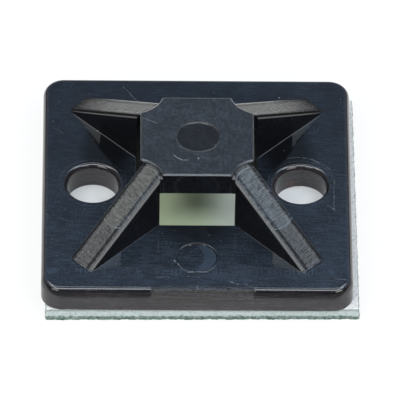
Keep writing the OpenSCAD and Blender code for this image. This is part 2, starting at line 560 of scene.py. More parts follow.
@dataclass(frozen=True)
class BlackNylon:
    """Moulded black nylon: polished on the base, ground on the plate, tooled on the ribs.

    A dusty film and fine wear lie on it; the film also holds painted light and shade, lighter towards
    the front of the base.
    """

    core: tuple = (0.0042, 0.0044, 0.0052)
    base_film: tuple = (0.0125, 0.0175, 0.0255)
    plate_film: tuple = (0.0185, 0.0232, 0.0288)
    rib_film: tuple = (0.0195, 0.02, 0.0165)
    rib_painted_sheen: tuple = (0.007, 0.0125, 0.022)
    side_film: tuple = (0.0125, 0.0105, 0.0118)
    wall_light_and_scratch: tuple = (0.0085, 0.006, 0.0065)
    pale_dust_and_highlight: tuple = (0.25, 0.27, 0.28)
    gloss: float = 0.085
    ior: float = 1.65
    base_top: float = 3.7
    plate_rough: float = 0.32
    rib_rough: float = 0.27
    torn_rough: float = 0.3
    dirt_rough: float = 0.6
    torn_film: tuple = (0.011, 0.010, 0.0105)
    rust: tuple = (0.05, 0.008, 0.004)
    hole_x: float = 9.45
    front_mark: tuple = (0.0, -9.7)
    plate_mark: tuple = (0.05, 0.0)
    hollow_centre: tuple = (5.975, 5.975)
    step_highlight_reach: float = 2.72
    base_scratches: tuple = (
        Line((8.3, 3.45), (9.5, 3.5), 0.05, 0.3),
        Line((9.5, 3.5), (10.5, 3.25), 0.05, 0.4),
        Line((10.5, 3.25), (11.4, 2.7), 0.06, 0.5),
        Line((11.4, 2.7), (12.3, 1.8), 0.05, 0.3),
        Line((12.5, 0.6), (12.42, -3.5), 0.06, 0.3),
        Line((11.8, -2.75), (12.5, -3.35), 0.05, 0.5),
        Line((12.3, -12.3), (13.4, -12.45), 0.05, 0.35),
        Line((-6.7, 12.8), (-5.3, 10.8), 0.06, 0.25),
        Line((-4.0, -12.3), (-2.6, -12.2), 0.07, 0.3),
        Line((-1.4, -12.15), (0.4, -12.25), 0.05, 0.25),
        Line((2.9, -12.8), (3.7, -13.15), 0.09, 0.5),
        Line((4.3, -12.9), (4.55, -13.35), 0.07, 0.45),
        Line((-0.02, -13.3), (0.1, -13.75), 0.06, 0.6),
        Line((-2.1, -10.1), (-1.66, -10.7), 0.09, 0.8),
        Line((-0.9, -11.6), (0.85, -11.6), 0.08, 0.5),
        Line((-12.5, -4.6), (-11.2, -5.2), 0.05, 0.2),
        Line((-12.9, 7.2), (-12.1, 6.4), 0.05, 0.2),
    )
    weld_lines: tuple = (
        Line((-9.42, 4.2), (-9.4, 2.2), 0.07, 0.9),
        Line((9.33, 4.9), (9.3, 2.2), 0.07, 0.9),
    )
    plate_scratches: tuple = (
        Line((-2.15, -2.5), (-1.75, -2.92), 0.06, 0.7),
        Line((-1.75, -2.92), (-1.35, -3.14), 0.06, 0.9),
        Line((-1.35, -3.14), (-0.85, -3.12), 0.06, 0.6),
        Line((-5.0, 2.45), (-3.6, 1.65), 0.05, 0.35),
    )
    scar_slants: tuple = (
        Line((-2.3, 2.1), (-1.45, 2.6), 0.05, 1.6),
        Line((3.1, 2.6), (3.9, 2.05), 0.05, 1.6),
    )

    def material(self) -> bpy.types.Material:
        """The material. Its zones come from the mesh's attributes and from height."""
        paint = Paint("black_nylon")
        place = paint.place()
        up = paint.span(paint.facing(), 0.7, 0.97)
        height = paint.axes(place)[2]
        plate, rib = paint.attribute("ground"), paint.attribute("tooled")
        low = paint.span(height, self.base_top + 0.12, self.base_top + 0.04)
        base = paint.both(up, low)
        side = paint.rest(paint.either(up, rib))

        film = paint.scaled(self.base_film, paint.both(base, self.base_film_and_painted_reflection(paint, place)))
        film = paint.laid(film, self.plate_film, paint.both(plate, self.grind(paint, place)))
        worked = paint.both(rib, self.chatter(paint, place))
        film = paint.laid(film, self.rib_film, worked)
        # Painted reflection: a bluer film on parts of the ribs' tops.
        film = paint.laid(film, self.rib_painted_sheen, paint.both(worked, self.painted_blue_sheen(paint, place)))
        film = paint.laid(film, self.side_film, paint.both(side, self.drag(paint, place)))
        # Paler screw-hole walls as painted light, and a rusty stain.
        film = paint.added(film, self.wall(paint, place, side))
        # Specks, scratches and rubbing, with a painted highlight ring round each hole.
        dust_and_highlight = self.dust_and_highlight(paint, place, base, plate)
        film = paint.laid(film, self.pale_dust_and_highlight, dust_and_highlight)

        patches = paint.noise(place, 0.3, 4.0, 0.6)
        rough = paint.span(patches, 0.3, 0.7, self.gloss * 0.8, self.gloss * 1.3)
        rough = paint.mix(plate, rough, self.plate_rough)
        milled = paint.span(paint.size(self.ribbed(paint, place)[1]), 1.07, 0.99)
        rough = paint.mix(paint.both(rib, milled), rough, self.rib_rough)
        torn = self.torn(paint, place, side)
        rough = paint.mix(torn, rough, self.torn_rough)
        rough = paint.mix(self.dirt(paint, place, side), rough, self.dirt_rough)
        film = paint.laid(film, self.torn_film, torn)
        paint.set(Base_Color=paint.added(self.core, film), Roughness=rough, IOR=self.ior)
        paint.set(Normal=self.relief(paint, place, base, plate, rib))
        return paint.material

    def base_film_and_painted_reflection(self, paint: Paint, place: Socket) -> Socket:
        """Strength of the base's film, with painted light in front and painted shade by the ribs and
        plate.
        """
        x, y, _ = paint.axes(place)
        # Painted light: the film thickens towards the front and towards the right.
        painted_front_light = paint.span(y, 9.0, -13.0, 0.8, 1.35)
        lean = paint.span(x, -12.0, 12.0, 0.9, 1.05)
        # Painted shade: the film thins in the wedges between the back ribs and the holes, where the
        # base reflects the ribs' dark sides.
        beside = paint.minus(paint.size(x), 8.3)
        far = paint.both(beside, beside)
        along = paint.minus(y, 4.2)
        far = paint.plus(paint.both(far, 0.16), paint.both(paint.both(along, along), 0.06))
        painted_wedge_shade = paint.span(far, 0.1, 1.3, 0.05, 1.0)
        cloud = paint.span(paint.noise(place, 0.45, 5.0, 0.65), 0.3, 0.7, 0.75, 1.2)
        grain = paint.span(paint.noise(place, 6.5, 3.0, 0.75), 0.32, 0.68, 0.55, 1.5)
        streak = paint.noise(paint.stretch(place, (0.8, 6.0, 1.0), 4), 1.0, 3.0, 0.6)
        grain = paint.both(grain, paint.span(streak, 0.32, 0.68, 0.7, 1.3))
        # Painted shade: the film is thinner round a spot in front, to the right of the front mark.
        right = paint.apart(place, (6.2, -9.0, 3.7))
        cloud = paint.both(cloud, paint.span(right, 1.5, 4.5, 0.75, 1.0))
        # Painted shade: the film thins before the window's mouth, where the base reflects the plate's
        # dark underside.
        mouth = paint.apart(place, (0.0, -5.2, 3.7))
        shade = paint.span(mouth, 1.8, 4.4, 0.35, 1.0)
        cloud = paint.both(cloud, shade, paint.plus(1.0, self.tooth(paint, place)))
        # Painted highlight beside the front mark.
        painted_crescent_light = self.painted_crescent_light(paint, place)
        weld = paint.rest(paint.lines(place, self.weld_lines))
        return paint.plus(paint.both(painted_front_light, lean, painted_wedge_shade, cloud, grain, weld), painted_crescent_light)

    def tooth(self, paint: Paint, place: Socket) -> Socket:
        """Two faint rows of upright ticks in front of the front ribs' toes."""
        x, y, _ = paint.axes(place)
        row = paint.size(paint.plus(y, 11.55))
        ticks = paint.noise(paint.vector(paint.both(x, 5.5), paint.both(y, 0.4), 0.0), 1.0, 1.0)
        patch = paint.span(paint.noise(paint.vector(x, 3.0, 0.0), 0.35, 1.0), 0.42, 0.56)
        return paint.both(paint.span(row, 0.42, 0.25), paint.span(ticks, 0.4, 0.6, -0.25, 0.7), patch)

    def painted_crescent_light(self, paint: Paint, place: Socket) -> Socket:
        """Painted highlight: extra film on the right of the front ejector mark's disc."""
        disc = paint.span(paint.reach(place, self.front_mark), 1.86, 1.78)
        bite = paint.span(paint.reach(place, (-0.85, -9.6)), 1.35, 1.65)
        right = paint.span(paint.axes(place)[0], -0.2, 0.6)
        return paint.both(disc, bite, right, 1.1)

    def grind(self, paint: Paint, place: Socket) -> Socket:
        """Strength of the film on the plate: a fine grain, with a darker disc in the mark."""
        grain = paint.span(paint.noise(place, 3.6, 4.0, 0.8), 0.32, 0.68, 0.4, 1.6)
        cross = paint.noise(paint.stretch(place, (5.0, 1.2, 1.0)), 1.0, 2.0, 0.6)
        cross = paint.span(cross, 0.3, 0.7, 0.85, 1.15)
        cloud = paint.span(paint.noise(place, 0.5, 3.0, 0.6), 0.3, 0.7, 0.85, 1.2)
        ring = paint.reach(place, self.plate_mark)
        mottle = paint.span(paint.noise(place, 2.6, 4.0, 0.8), 0.35, 0.65, 0.0, 0.4)
        disc = paint.mix(paint.span(ring, 1.84, 1.94), mottle, 1.0)
        return paint.both(grain, cross, cloud, disc)

    def drag(self, paint: Paint, place: Socket) -> Socket:
        """Fine level lines left on upright faces by the mould."""
        fine = paint.noise(paint.stretch(place, (0.25, 0.25, 9.0)), 1.0, 3.0, 0.7)
        blot = paint.noise(place, 1.3, 3.0, 0.6)
        # Painted shade: the film is much fainter on the upright faces above the base's top, the sides
        # of the ribs and the plate.
        outer = paint.span(paint.axes(place)[2], self.base_top + 0.1, self.base_top - 0.1, 0.15, 1.0)
        fine = paint.span(fine, 0.35, 0.65, 0.0, 2.0)
        return paint.both(fine, paint.span(blot, 0.3, 0.7, 0.6, 1.3), outer)

    def wall(self, paint: Paint, place: Socket, side: Socket) -> Socket:
        """Paler film on the screw holes' walls as painted light, with a rusty stain in the right one.
        """
        left = paint.span(paint.reach(place, (-self.hole_x, 0.0)), 2.5, 2.4)
        right = paint.span(paint.reach(place, (self.hole_x, 0.0)), 2.5, 2.4)
        hole = paint.both(side, paint.either(left, right))
        x, y, z = paint.axes(place)
        stain = paint.apart(place, (8.5, 2.1, 1.65))
        blotch = paint.span(paint.noise(place, 3.0, 2.0), 0.35, 0.6)
        stain = paint.both(hole, paint.span(stain, 0.75, 0.15), blotch)
        hair = paint.plus(paint.both(z, 0.42), x)
        hair = paint.span(paint.size(paint.minus(hair, 11.0)), 0.06, 0.02, 0.0, 2.5)
        hair = paint.both(hair, paint.span(x, 9.0, 9.6), paint.span(y, 1.0, 1.3))
        # Painted light thrown up by the foam: the walls grow paler towards the bottom.
        walls = paint.both(hole, paint.span(z, 1.4, 3.4, 1.35, 0.7))
        walls = paint.scaled(self.wall_light_and_scratch, paint.plus(walls, paint.both(hole, hair)))
        return paint.added(walls, paint.scaled(self.rust, stain))

    def dirt(self, paint: Paint, place: Socket, side: Socket) -> Socket:
        """Clots of dirt low on the front right corner and under the front face."""
        flat = paint.apart(place, (13.35, -13.45, 1.75))
        corner = paint.span(flat, 1.05, 0.45)
        spot = paint.apart(place, (-6.9, -14.0, 1.3))
        clots = paint.span(paint.noise(place, 3.2, 4.0, 0.75), 0.5, 0.56)
        return paint.both(side, paint.either(paint.both(corner, clots), paint.span(spot, 0.45, 0.2)))

    def torn(self, paint: Paint, place: Socket, side: Value) -> Socket:
        """The sprue's scar along the front top edge, and the slanted edges of its root."""
        x, y, z = paint.axes(place)
        front = paint.span(y, -13.2, -13.5)
        across = paint.both(paint.span(x, -4.2, -4.05), paint.span(x, 5.15, 5.0), front)
        upper = paint.span(paint.plus(z, paint.both(paint.noise(place, 1.1, 3.0), 0.5)), 2.9, 3.3)
        grain = paint.span(paint.noise(place, 4.0, 4.0, 0.75), 0.3, 0.7, 0.2, 1.0)
        slants = paint.both(paint.lines(paint.vector(x, z, 0.0), self.scar_slants), front)
        return paint.both(side, paint.either(paint.both(across, upper, grain), slants))

    def ribbed(self, paint: Paint, place: Socket) -> tuple:
        """Distance along a rib, and across it from the middle of its top, in millimetres.

        Along is (|x| + |y|) / root 2 and across (|x| - |y|) / root 2, less the ribs' drift:
        -0.05 - 0.017 * (along - 6) in front and 0.15 - 0.005 * (along - 6) behind.
        """
        x, y, _ = paint.axes(place)
        front = paint.span(y, 0.5, -0.5)
        x, y = paint.size(x), paint.size(y)
        root = math.sqrt(0.5)
        along = paint.both(paint.plus(x, y), root)
        across = paint.both(paint.minus(x, y), root)
        run = paint.minus(along, 6.0)
        ahead = paint.plus(paint.both(run, -0.017), -0.05)
        behind = paint.plus(paint.both(run, -0.005), 0.15)
        return along, paint.minus(across, paint.mix(front, behind, ahead))

    def painted_blue_sheen(self, paint: Paint, place: Socket) -> Socket:
        """Painted reflection: bluer film on the right ribs and along the front left one's inner edge.
        """
        x, y, _ = paint.axes(place)
        front = paint.span(y, 0.5, -0.5)
        inner = paint.both(front, paint.span(self.ribbed(paint, place)[1], -0.35, -0.9))
        return paint.either(paint.both(front, paint.span(x, -1.0, 1.0)), inner)

    def chatter(self, paint: Paint, place: Socket) -> Socket:
        """Strength of the film on a rib's top: fine cutter marks across it, ragged at its sides.

        Beside the hollow it gives way to a painted highlight of the step, a pale band with a painted
        dark line on each side.
        """
        along, across = self.ribbed(paint, place)
        side = paint.axes(place)[0]
        where = paint.vector(paint.both(along, 5.5), paint.both(across, 0.7), side)
        cuts = paint.span(paint.noise(where, 1.0, 2.0, 0.7), 0.3, 0.7, 0.25, 1.75)
        grain = paint.span(paint.noise(place, 4.0, 2.0, 0.6), 0.3, 0.7, 0.6, 1.4)
        ticks = paint.vector(paint.both(along, 6.5), paint.both(across, 0.6), side)
        ticks = paint.span(paint.noise(ticks, 1.0, 2.0), 0.35, 0.65, -1.0, 1.0)
        deep = paint.both(paint.span(side, 2.0, 4.0), paint.span(paint.axes(place)[1], -2.0, -4.0))
        deep = paint.mix(paint.both(deep, paint.noise(place, 0.7, 1.0)), 0.045, 0.4)
        edge = paint.plus(paint.size(across), paint.both(ticks, deep))
        strip = paint.span(edge, 1.09, 1.01)
        x, y, _ = paint.axes(place)
        place = paint.vector(paint.size(x), paint.size(y), 0.0)
        # Painted highlight: a pale band round each hollow's centre along the step, with painted shade
        # where the film stops on each side.
        reach = paint.reach(place, self.hollow_centre)
        painted_step_highlight = paint.span(paint.size(paint.minus(reach, self.step_highlight_reach)), 0.1, 0.05, 0.0, 2.2)
        inside = paint.span(reach, 2.6, 2.54)
        return paint.both(strip, paint.either(paint.both(cuts, grain, inside), painted_step_highlight))

    def dust_and_highlight(self, paint: Paint, place: Socket, base: Socket, plate: Socket) -> Socket:
        """Scratches, specks and hair-fine rubbing on the top faces, and a painted highlight round each
        hole.
        """
        sway = paint.node("TexNoise", {"Vector": place, "Scale": 0.9, "Detail": 2.0}).outputs["Color"]
        sway = paint.node("VectorMath", {0: sway, 1: (0.5, 0.5, 0.5)}, operation="SUBTRACT").outputs[0]
        bent = paint.added(place, paint.scaled(sway, 0.22))
        worn = paint.span(paint.noise(place, 3.5, 2.0), 0.38, 0.55)
        cut = paint.both(base, worn, paint.lines(bent, self.base_scratches))
        cut = paint.either(cut, paint.both(plate, paint.lines(place, self.plate_scratches)))
        top = paint.either(base, plate)
        dots = paint.specks(place, 0.55, 0.075, 0.3)
        fine = paint.both(paint.specks(place, 1.9, 0.05, 0.22), 0.35)
        dots = paint.both(top, paint.either(dots, fine))
        rub = [self.rub(paint, place, turn) for turn in (17, 68, 124)]
        rub = paint.either(paint.either(rub[0], rub[1]), rub[2])
        rub = paint.both(top, rub, 0.07)
        # Painted highlight: a faint pale ring just outside each screw hole's lip.
        left, right = paint.reach(place, (-self.hole_x, 0)), paint.reach(place, (self.hole_x, 0))
        ring = paint.math("MINIMUM", left, right)
        ring = paint.size(paint.minus(ring, 3.02))
        ring = paint.both(base, paint.span(ring, 0.09, 0.02, 0.0, 0.06), worn)
        return paint.either(paint.either(cut, dots), paint.either(rub, ring))

    def rub(self, paint: Paint, place: Socket, turn: float) -> Socket:
        """Faint parallel scratches that run one way, in patches."""
        hair = paint.noise(paint.stretch(place, (0.35, 16.0, 0.2), turn), 1.0, 1.0, 0.5)
        patch = paint.noise(paint.stretch(place, (0.3, 0.5, 0.3), turn), 1.0, 2.0, 0.5)
        return paint.both(paint.span(hair, 0.68, 0.76), paint.span(patch, 0.5, 0.62))

    def relief(
        self, paint: Paint, place: Socket, base: Socket, plate: Socket, rib: Socket
    ) -> Socket:
        """Bumps: slow waves on the base, grain on the plate and cutter marks across the ribs."""
        wave = paint.both(paint.noise(place, 0.35, 2.0, 0.5), base)
        normal = paint.bump(wave, 0.05)
        grain = paint.both(paint.noise(place, 6.0, 3.0, 0.7), plate)
        normal = paint.bump(grain, 0.012, normal)
        along, across = self.ribbed(paint, place)
        where = paint.vector(paint.both(along, 5.5), paint.both(across, 0.7), paint.axes(place)[0])
        cuts = paint.noise(where, 1.0, 2.0, 0.7)
        across = paint.size(across)
        near = paint.both(paint.span(across, 0.6, 0.9, 0.6, 1.5), paint.span(across, 1.08, 0.98))
        normal = paint.bump(paint.both(cuts, rib, near), 0.09, normal)
        scar = paint.both(paint.noise(place, 5.0, 4.0, 0.7), self.torn(paint, place, 1.0))
        return paint.bump(scar, 0.12, normal)


@dataclass(frozen=True)
class PaleFoam:
    """Fine closed-cell foam: white from above, greenish, rougher and painted darker as shade on its cut
    edge.
    """

    white: tuple = (0.8, 0.79, 0.78, 1.0)
    sawn_and_shaded: tuple = (0.47, 0.53, 0.51, 1.0)
    green: tuple = (0.05, 0.1, 0.075, 1.0)
    grey: tuple = (0.3, 0.31, 0.31, 1.0)
    under: tuple = (0.2, 0.2, 0.2, 1.0)
    shaded: tuple = (0.56, 0.65, 0.42, 1.0)
    high: float = 1.2

    def material(self) -> bpy.types.Material:
        """The foam's material."""
        paint = Paint("pale_foam")
        place = paint.place()
        x, y, z = paint.axes(place)
        up = paint.span(paint.facing(), 0.4, 0.8)
        cut = paint.minus(1.0, up)
        sink = paint.plus(z, paint.both(paint.noise(place, 2.5, 4.0, 0.8), -0.7))
        sink = paint.both(cut, paint.span(sink, 0.14, 0.0))
        mottle = paint.span(paint.noise(place, 3.2, 4.0, 0.7), 0.35, 0.65)
        # The cut edge is greenish, and darker than the top as painted shade.
        colour = paint.tint(cut, self.white, self.sawn_and_shaded)
        depth = paint.both(sink, paint.plus(0.6, paint.both(mottle, 0.4)))
        colour = paint.tint(depth, colour, self.green)
        # Painted shadow along the top of the cut edge, under the body's edge.
        painted_shadow_band = paint.span(z, self.high - 0.35, self.high - 0.05, 0.0, 0.8)
        colour = paint.tint(paint.both(cut, painted_shadow_band), colour, self.under)
        edge = paint.span(paint.size(x), 13.6, 14.0)
        spots = paint.span(paint.noise(place, 4.2, 3.0, 0.75), 0.5, 0.62)
        colour = paint.tint(paint.both(paint.either(cut, edge), spots, 0.55), colour, self.grey)
        # Painted shade on the foam seen through the window, under the plate: darker and yellow-green,
        # fading towards the right.
        inside = paint.both(paint.span(paint.size(x), 4.4, 3.6), paint.span(paint.size(y), 6.4, 5.8))
        window = paint.span(x, 3.4, -0.5, 0.45, 1.0)
        colour = paint.tint(paint.both(inside, window), colour, self.shaded)
        paint.set(Base_Color=colour, Roughness=0.85)
        cells = paint.cells(place, 7.0)
        normal = paint.bump(paint.both(cells, paint.span(cut, 0.0, 1.0, 0.25, 1.0)), 0.05)
        paint.set(Normal=normal)
        return paint.material


@dataclass(frozen=True)
class LinerPaper:
    """Thin coated release paper, dark green where its cut edge shows."""

    dark: tuple = (0.022, 0.075, 0.05, 1.0)
    light: tuple = (0.2, 0.32, 0.26, 1.0)

    def material(self) -> bpy.types.Material:
        """The paper's material."""
        paint = Paint("liner_paper")
        place = paint.place()
        patch = paint.span(paint.noise(place, 1.6, 3.0, 0.65), 0.45, 0.62)
        paint.set(Base_Color=paint.tint(patch, self.dark, self.light), Roughness=0.5)
        paint.set(Normal=paint.bump(paint.noise(place, 9.0, 2.0), 0.02))
        return paint.material


# ---------------------------------------------------------------------------------------
# The mount
# ---------------------------------------------------------------------------------------


@dataclass
class MouldedBody:
    """The black moulding: base, four ribs, plate, window and screw holes."""

    corner_r: float = 1.9
    spread: tuple = (0.1, 0.12)
    edge_r: float = 0.58
    edge_tail: float = 1.5
    scar: tuple = (-4.1, 5.1)
    base_t: float = 2.5
    hole_r: float = 2.35
    hole_x: float = 9.45
    hole_lip: float = 0.5
    plate_w: float = 10.2
    plate_fit: tuple = ((1.008, -0.035), (1.013, 0.065))
    plate_t: float = 2.35
    plate_edge: tuple = (0.17, 0.14)
    plate_corner: float = 0.22
    hollow_r: float = 3.0
    hollow_reach: float = 5.45
    passage_half: float = 3.4
    window_reach: float = 5.5
    window_edge: float = 0.06
    front_mark: tuple = (0.0, -9.7)
    front_mark_r: float = 1.925
    plate_mark: tuple = (0.05, 0.0)
    plate_mark_r: float = 2.0
    mark_rim: float = 0.045
    rib_w: float = 2.7
    rib_reach: float = 15.15
    rib_toe: float = 0.1
    rib_step: float = 0.27
    front_edge: tuple = (0.27, 0.06)
    back_edge: tuple = (0.34, 0.11)
    front_drift: tuple = (-0.05, -0.017)
    back_drift: tuple = (0.15, -0.005)
    finish: BlackNylon = field(default_factory=BlackNylon)

    def __post_init__(self) -> None:
        """Takes the heights and the width from the frame."""
        low, high = box_mm("mount_body")
        self.width = high[0] - low[0]
        self.floor = low[2]
        self.top = self.floor + self.base_t
        self.crown = high[2]
        self.rib_rise = self.crown - self.rib_step - self.top
        self.rib_blunt = self.rib_reach - 0.2
        self.rib_fall = (self.rib_rise - self.rib_toe) / (self.rib_blunt - self.hollow_reach)

    def base(self) -> bpy.types.Object:
        """The square slab, with its window and its screw holes."""
        square = rectangle(self.width + self.spread[0], self.width + self.spread[1])
        square = square + np.array([0.0, self.spread[1] / 2])
        square = filleted(square, np.full(4, self.corner_r), 20, 160)
        foot = walls(1.0, 0.06, (0.0, 0.0), 5)[:6]
        edge = rolled_edge(self.edge_r, self.edge_tail, 22)
        edge[:, 1] = self.base_t - edge[:, 1]
        side = np.concatenate([foot, np.linspace(foot[-1], edge[0], 6)[1:-1], edge])
        rings = stacked(square, side, self.floor)
        slab = lofted("mount_body_shell", self.gate_scar(rings))
        window = filleted(
            cross_corners(self.window_reach, self.passage_half), np.tile([0.14, 0.08, 0.08], 4), 5, 1
        )
        cutter = flare(self.base_t, self.window_edge, 4)
        combined(slab, lofted("window", stacked(window, cutter, self.floor)), Cut.REMOVE)
        ring = circle(self.hole_r, ROUND_STEPS)
        cutter = flare(self.base_t, self.hole_lip, 8)
        for side_x in (-self.hole_x, self.hole_x):
            rings = stacked(ring, cutter, self.floor)
            rings[..., 0] += side_x
            combined(slab, lofted("screw_hole", rings), Cut.REMOVE)
        self.ejector_mark(slab, (*self.front_mark, self.top), self.front_mark_r)
        return slab

    def gate_scar(self, rings: np.ndarray) -> np.ndarray:
        """Front top edge with the uneven stretch where the sprue was cut off.

        Between the scar's ends the long tail of the edge is filled, so that the face
        runs straight up to a tight round of radius r: inset = r - sqrt(r^2 - (r - d)^2) at
        a depth d. The surface wanders by about 0.03.

        Args:
            rings: The slab's rings.
        """
        x, y, z = rings[..., 0], rings[..., 1], rings[..., 2]
        front = (y < -self.width / 2 + 1.6) & (np.abs(x) < self.width / 2 - 2.5)
        start, stop = self.scar
        within = np.clip((x - start) / 0.12, 0, 1) * np.clip((stop - x) / 0.12, 0, 1) * front
        tight = 0.34 + 0.06 * roughness(x, 2.6)
        deep = np.clip(tight - (self.top - z), 0, tight)
        filled = tight - np.sqrt(np.clip(tight**2 - deep**2, 0, None))
        filled = filled + 0.012 * roughness(x + 2 * z, 0.6) + 0.008 * roughness(x - 3 * z, 0.25)
        inset = y + self.width / 2
        high = np.clip((z - self.top + 1.4) / 0.4, 0, 1)
        rings[..., 1] = y + within * high * (filled - inset)
        beside = np.exp(-(((x - stop + 0.25) / 0.12) ** 2))
        nick = 0.16 * beside * np.exp(-(((self.top - z - 0.3) / 0.2) ** 2))
        rings[..., 1] += nick * front
        return rings

    def ejector_mark(self, piece: bpy.types.Object, centre: tuple, radius: float) -> None:
        """Sinks a shallow disc in a face and raises a fine rim round it.

        The rim's section is a half ellipse, 0.22 wide and h high, on a buried foot:
        radius + 0.11 * cos a, h * sin a. The disc's wall slopes inwards.

        Args:
            piece: The solid with the face.
            centre: Middle of the disc, on the face.
            radius: Radius of the disc.
        """
        angle = np.linspace(0, math.pi, 9)
        crest = np.stack([radius + 0.11 * np.cos(angle), self.mark_rim * np.sin(angle)], axis=1)
        foot = np.array([[radius - 0.11, -0.16], [radius + 0.11, -0.16]])
        disc = np.array([[0.1, -0.08], [-0.04, 0.06], [-0.04, 0.3]])
        rings = stacked(circle(radius - 0.1, ROUND_STEPS), disc, 0.0) + np.array(centre)
        combined(piece, ringed("rim", np.concatenate([crest, foot]), centre), Cut.JOIN)
        combined(piece, lofted("disc", rings), Cut.REMOVE)

    def plate_outline(self) -> Outline:
        """The plate from above: a square whose corners are hollowed by arcs.

        A small convex arc of radius f joins each side to the hollow of radius h. Its
        centre is f inside the side, and h + f from the hollow's centre.
        """
        half, small, hollow = self.plate_w / 2, self.plate_corner, self.hollow_r
        middle = (self.hollow_reach + hollow) * math.sqrt(0.5)
        small_x = half - small
        small_y = middle - math.sqrt((hollow + small) ** 2 - (small_x - middle) ** 2)
        lean = math.atan2(middle - small_y, middle - small_x)

        def arc(centre: tuple, radius: float, start: float, stop: float, steps: int) -> tuple:
            """Points and normals of an arc between two angles."""
            angle = np.linspace(start, stop, steps + 1)
            normals = np.stack([np.cos(angle), np.sin(angle)], axis=1)
            return np.array(centre) + radius * normals, normals

        runs = [
            arc((small_x, small_y), small, 0, lean, 8),
            arc((middle, middle), -hollow, lean, math.pi / 2 - lean, 20),
            arc((small_y, small_x), small, math.pi / 2 - lean, math.pi / 2, 8),
        ]
        points = np.concatenate([runs[0][0], runs[1][0][1:-1], runs[2][0]])
        normals = np.concatenate([runs[0][1], runs[1][1][1:-1], runs[2][1]])
        corner = Outline(points, normals)
        quarters = [corner.turned(quarter) for quarter in (0, 90, 180, 270)]
        return Outline(
            np.concatenate([quarter.points for quarter in quarters]),
            np.concatenate([quarter.normals for quarter in quarters]),
        )

    def plate(self) -> bpy.types.Object:
        """The plate that the ties pass under."""
        inset, drop = soft_chamfer(np.array(self.plate_edge[0]), np.array(self.plate_edge[1]), 4)
        tall = self.plate_t - self.mark_rim
        foot = walls(1.0, 0.05, (0.0, 0.0), 4)[:5]
        side = np.concatenate([foot, np.stack([inset, tall - drop], axis=1)])
        rings = stacked(self.plate_outline(), side, self.crown - self.plate_t)
        for axis, (scale, shift) in enumerate(self.plate_fit):
            rings[..., axis] = rings[..., axis] * scale + shift
        made = lofted("plate", rings)
        self.ejector_mark(made, (*self.plate_mark, self.crown - self.mark_rim), self.plate_mark_r)
        return made

    def rib_sections(self, edge: float, foot: float) -> np.ndarray:
        """Sections across a rib, from the middle of the body out past its toe.

        The top falls evenly from the hollow to the toe, whose last stretch slopes down
        at 45 degrees. Each section is the same flat top with a round of radius r down to
        each side, lowered with the top: (half - r + r * sin a, top - r + r * cos a). What
        lies under the height f gives way to a hollow arc of radius f that joins the side
        to the base. Where the rib is low, f shrinks with it.

        Args:
            edge: Radius of the rounds along the top.
            foot: Radius of the hollow arcs along the base.
        """
        run = np.linspace(self.hollow_reach, self.rib_blunt, 40)
        rise = self.rib_rise - self.rib_fall * (run - self.hollow_reach)
        station = np.concatenate([[0.5], run, self.rib_blunt + np.array([0.04, 0.2, 0.24])])
        last = rise[-1] - np.array([0.015, rise[-1] - 0.01, rise[-1] + 0.05])
        high = np.concatenate([[self.rib_rise], rise, last])[:, None]

        low = np.clip(high * 0.35, 0.003, foot)
        turn = np.linspace(math.pi / 2, 0, 12)[None]
        half = self.rib_w / 2
        drop = np.clip(low - high + edge, 0, edge)
        side_y = half - edge + np.sqrt(edge**2 - drop**2)
        top_y = np.minimum(half - edge * (1 - np.sin(turn)) + 0 * high, side_y)
        top_z = np.maximum(high - edge * (1 - np.cos(turn)), low)
        top_z = np.where(high > low, top_z, high + 0 * turn)

        sweep = np.linspace(0, math.pi / 2, 6)[None, :-1]
        foot_y = side_y + low * (1 - np.sin(sweep))
        foot_z = np.minimum(low * (1 - np.cos(sweep)) - 0.003 * np.cos(sweep), high - 0.002)
        deep = np.full_like(high, -1.0)
        half_y = np.concatenate([foot_y[:, :1], foot_y, top_y], axis=1)
        half_z = np.concatenate([deep, foot_z, top_z], axis=1)
        across = np.concatenate([half_y, -half_y[:, ::-1]], axis=1)
        up = np.concatenate([half_z, half_z[:, ::-1]], axis=1)
        along = np.broadcast_to(station[:, None], across.shape)
        return np.stack([along, across, up + self.top], axis=2)

    def ribs(self) -> bpy.types.Object:
        """Four ribs as one solid, with both passages cut through them."""
        made = None
        for turn in (45, 135, 225, 315):
            behind = turn < 180
            rings = self.rib_sections(*(self.back_edge if behind else self.front_edge))
            drift = self.back_drift if behind else self.front_drift
            side = 1 if turn in (135, 315) else -1
            rings[..., 1] += side * (drift[0] + drift[1] * (rings[..., 0] - 6.0))
            rings[..., :2] = rings[..., :2] @ turn_matrix(turn).T
            rib = lofted(f"rib_{turn}", rings)
            made = rib if made is None else combined(made, rib, Cut.JOIN)
        wide = self.passage_half + 0.003
        passage = filleted(cross_corners(self.width, wide), np.full(12, 0.14), 5, 1)
        side = np.array([[0.0, -1.5], [0.0, self.crown - self.plate_t + 0.01 - self.top]])
        combined(made, lofted("passages", stacked(passage, side, self.top)), Cut.REMOVE)
        side[1, 1] = self.crown + 1.0 - self.top
        mouth = filleted(rectangle(2 * wide, 4.0), np.full(4, 0.05), 2, 1)
        for turn in (0, 90, 180, 270):
            rings = stacked(mouth, side, self.top)
            rings[..., 1] += self.plate_w / 2 + 2.0
            rings[..., :2] = rings[..., :2] @ turn_matrix(turn).T
            combined(made, lofted("passage_mouth", rings), Cut.REMOVE)
        return made

    def build(self) -> bpy.types.Object:
        """The whole moulding, as one closed mesh with its finish."""
        shell = self.base()
        saddle = combined(self.ribs(), self.plate(), Cut.JOIN)
        combined(shell, saddle, Cut.JOIN)
        self.mark_zones(shell)
        smoothed(shell, 32)
        shell.data.materials.clear()
        shell.data.materials.append(self.finish.material())
        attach(shell, BODY)
        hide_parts("mount_body")
        return shell

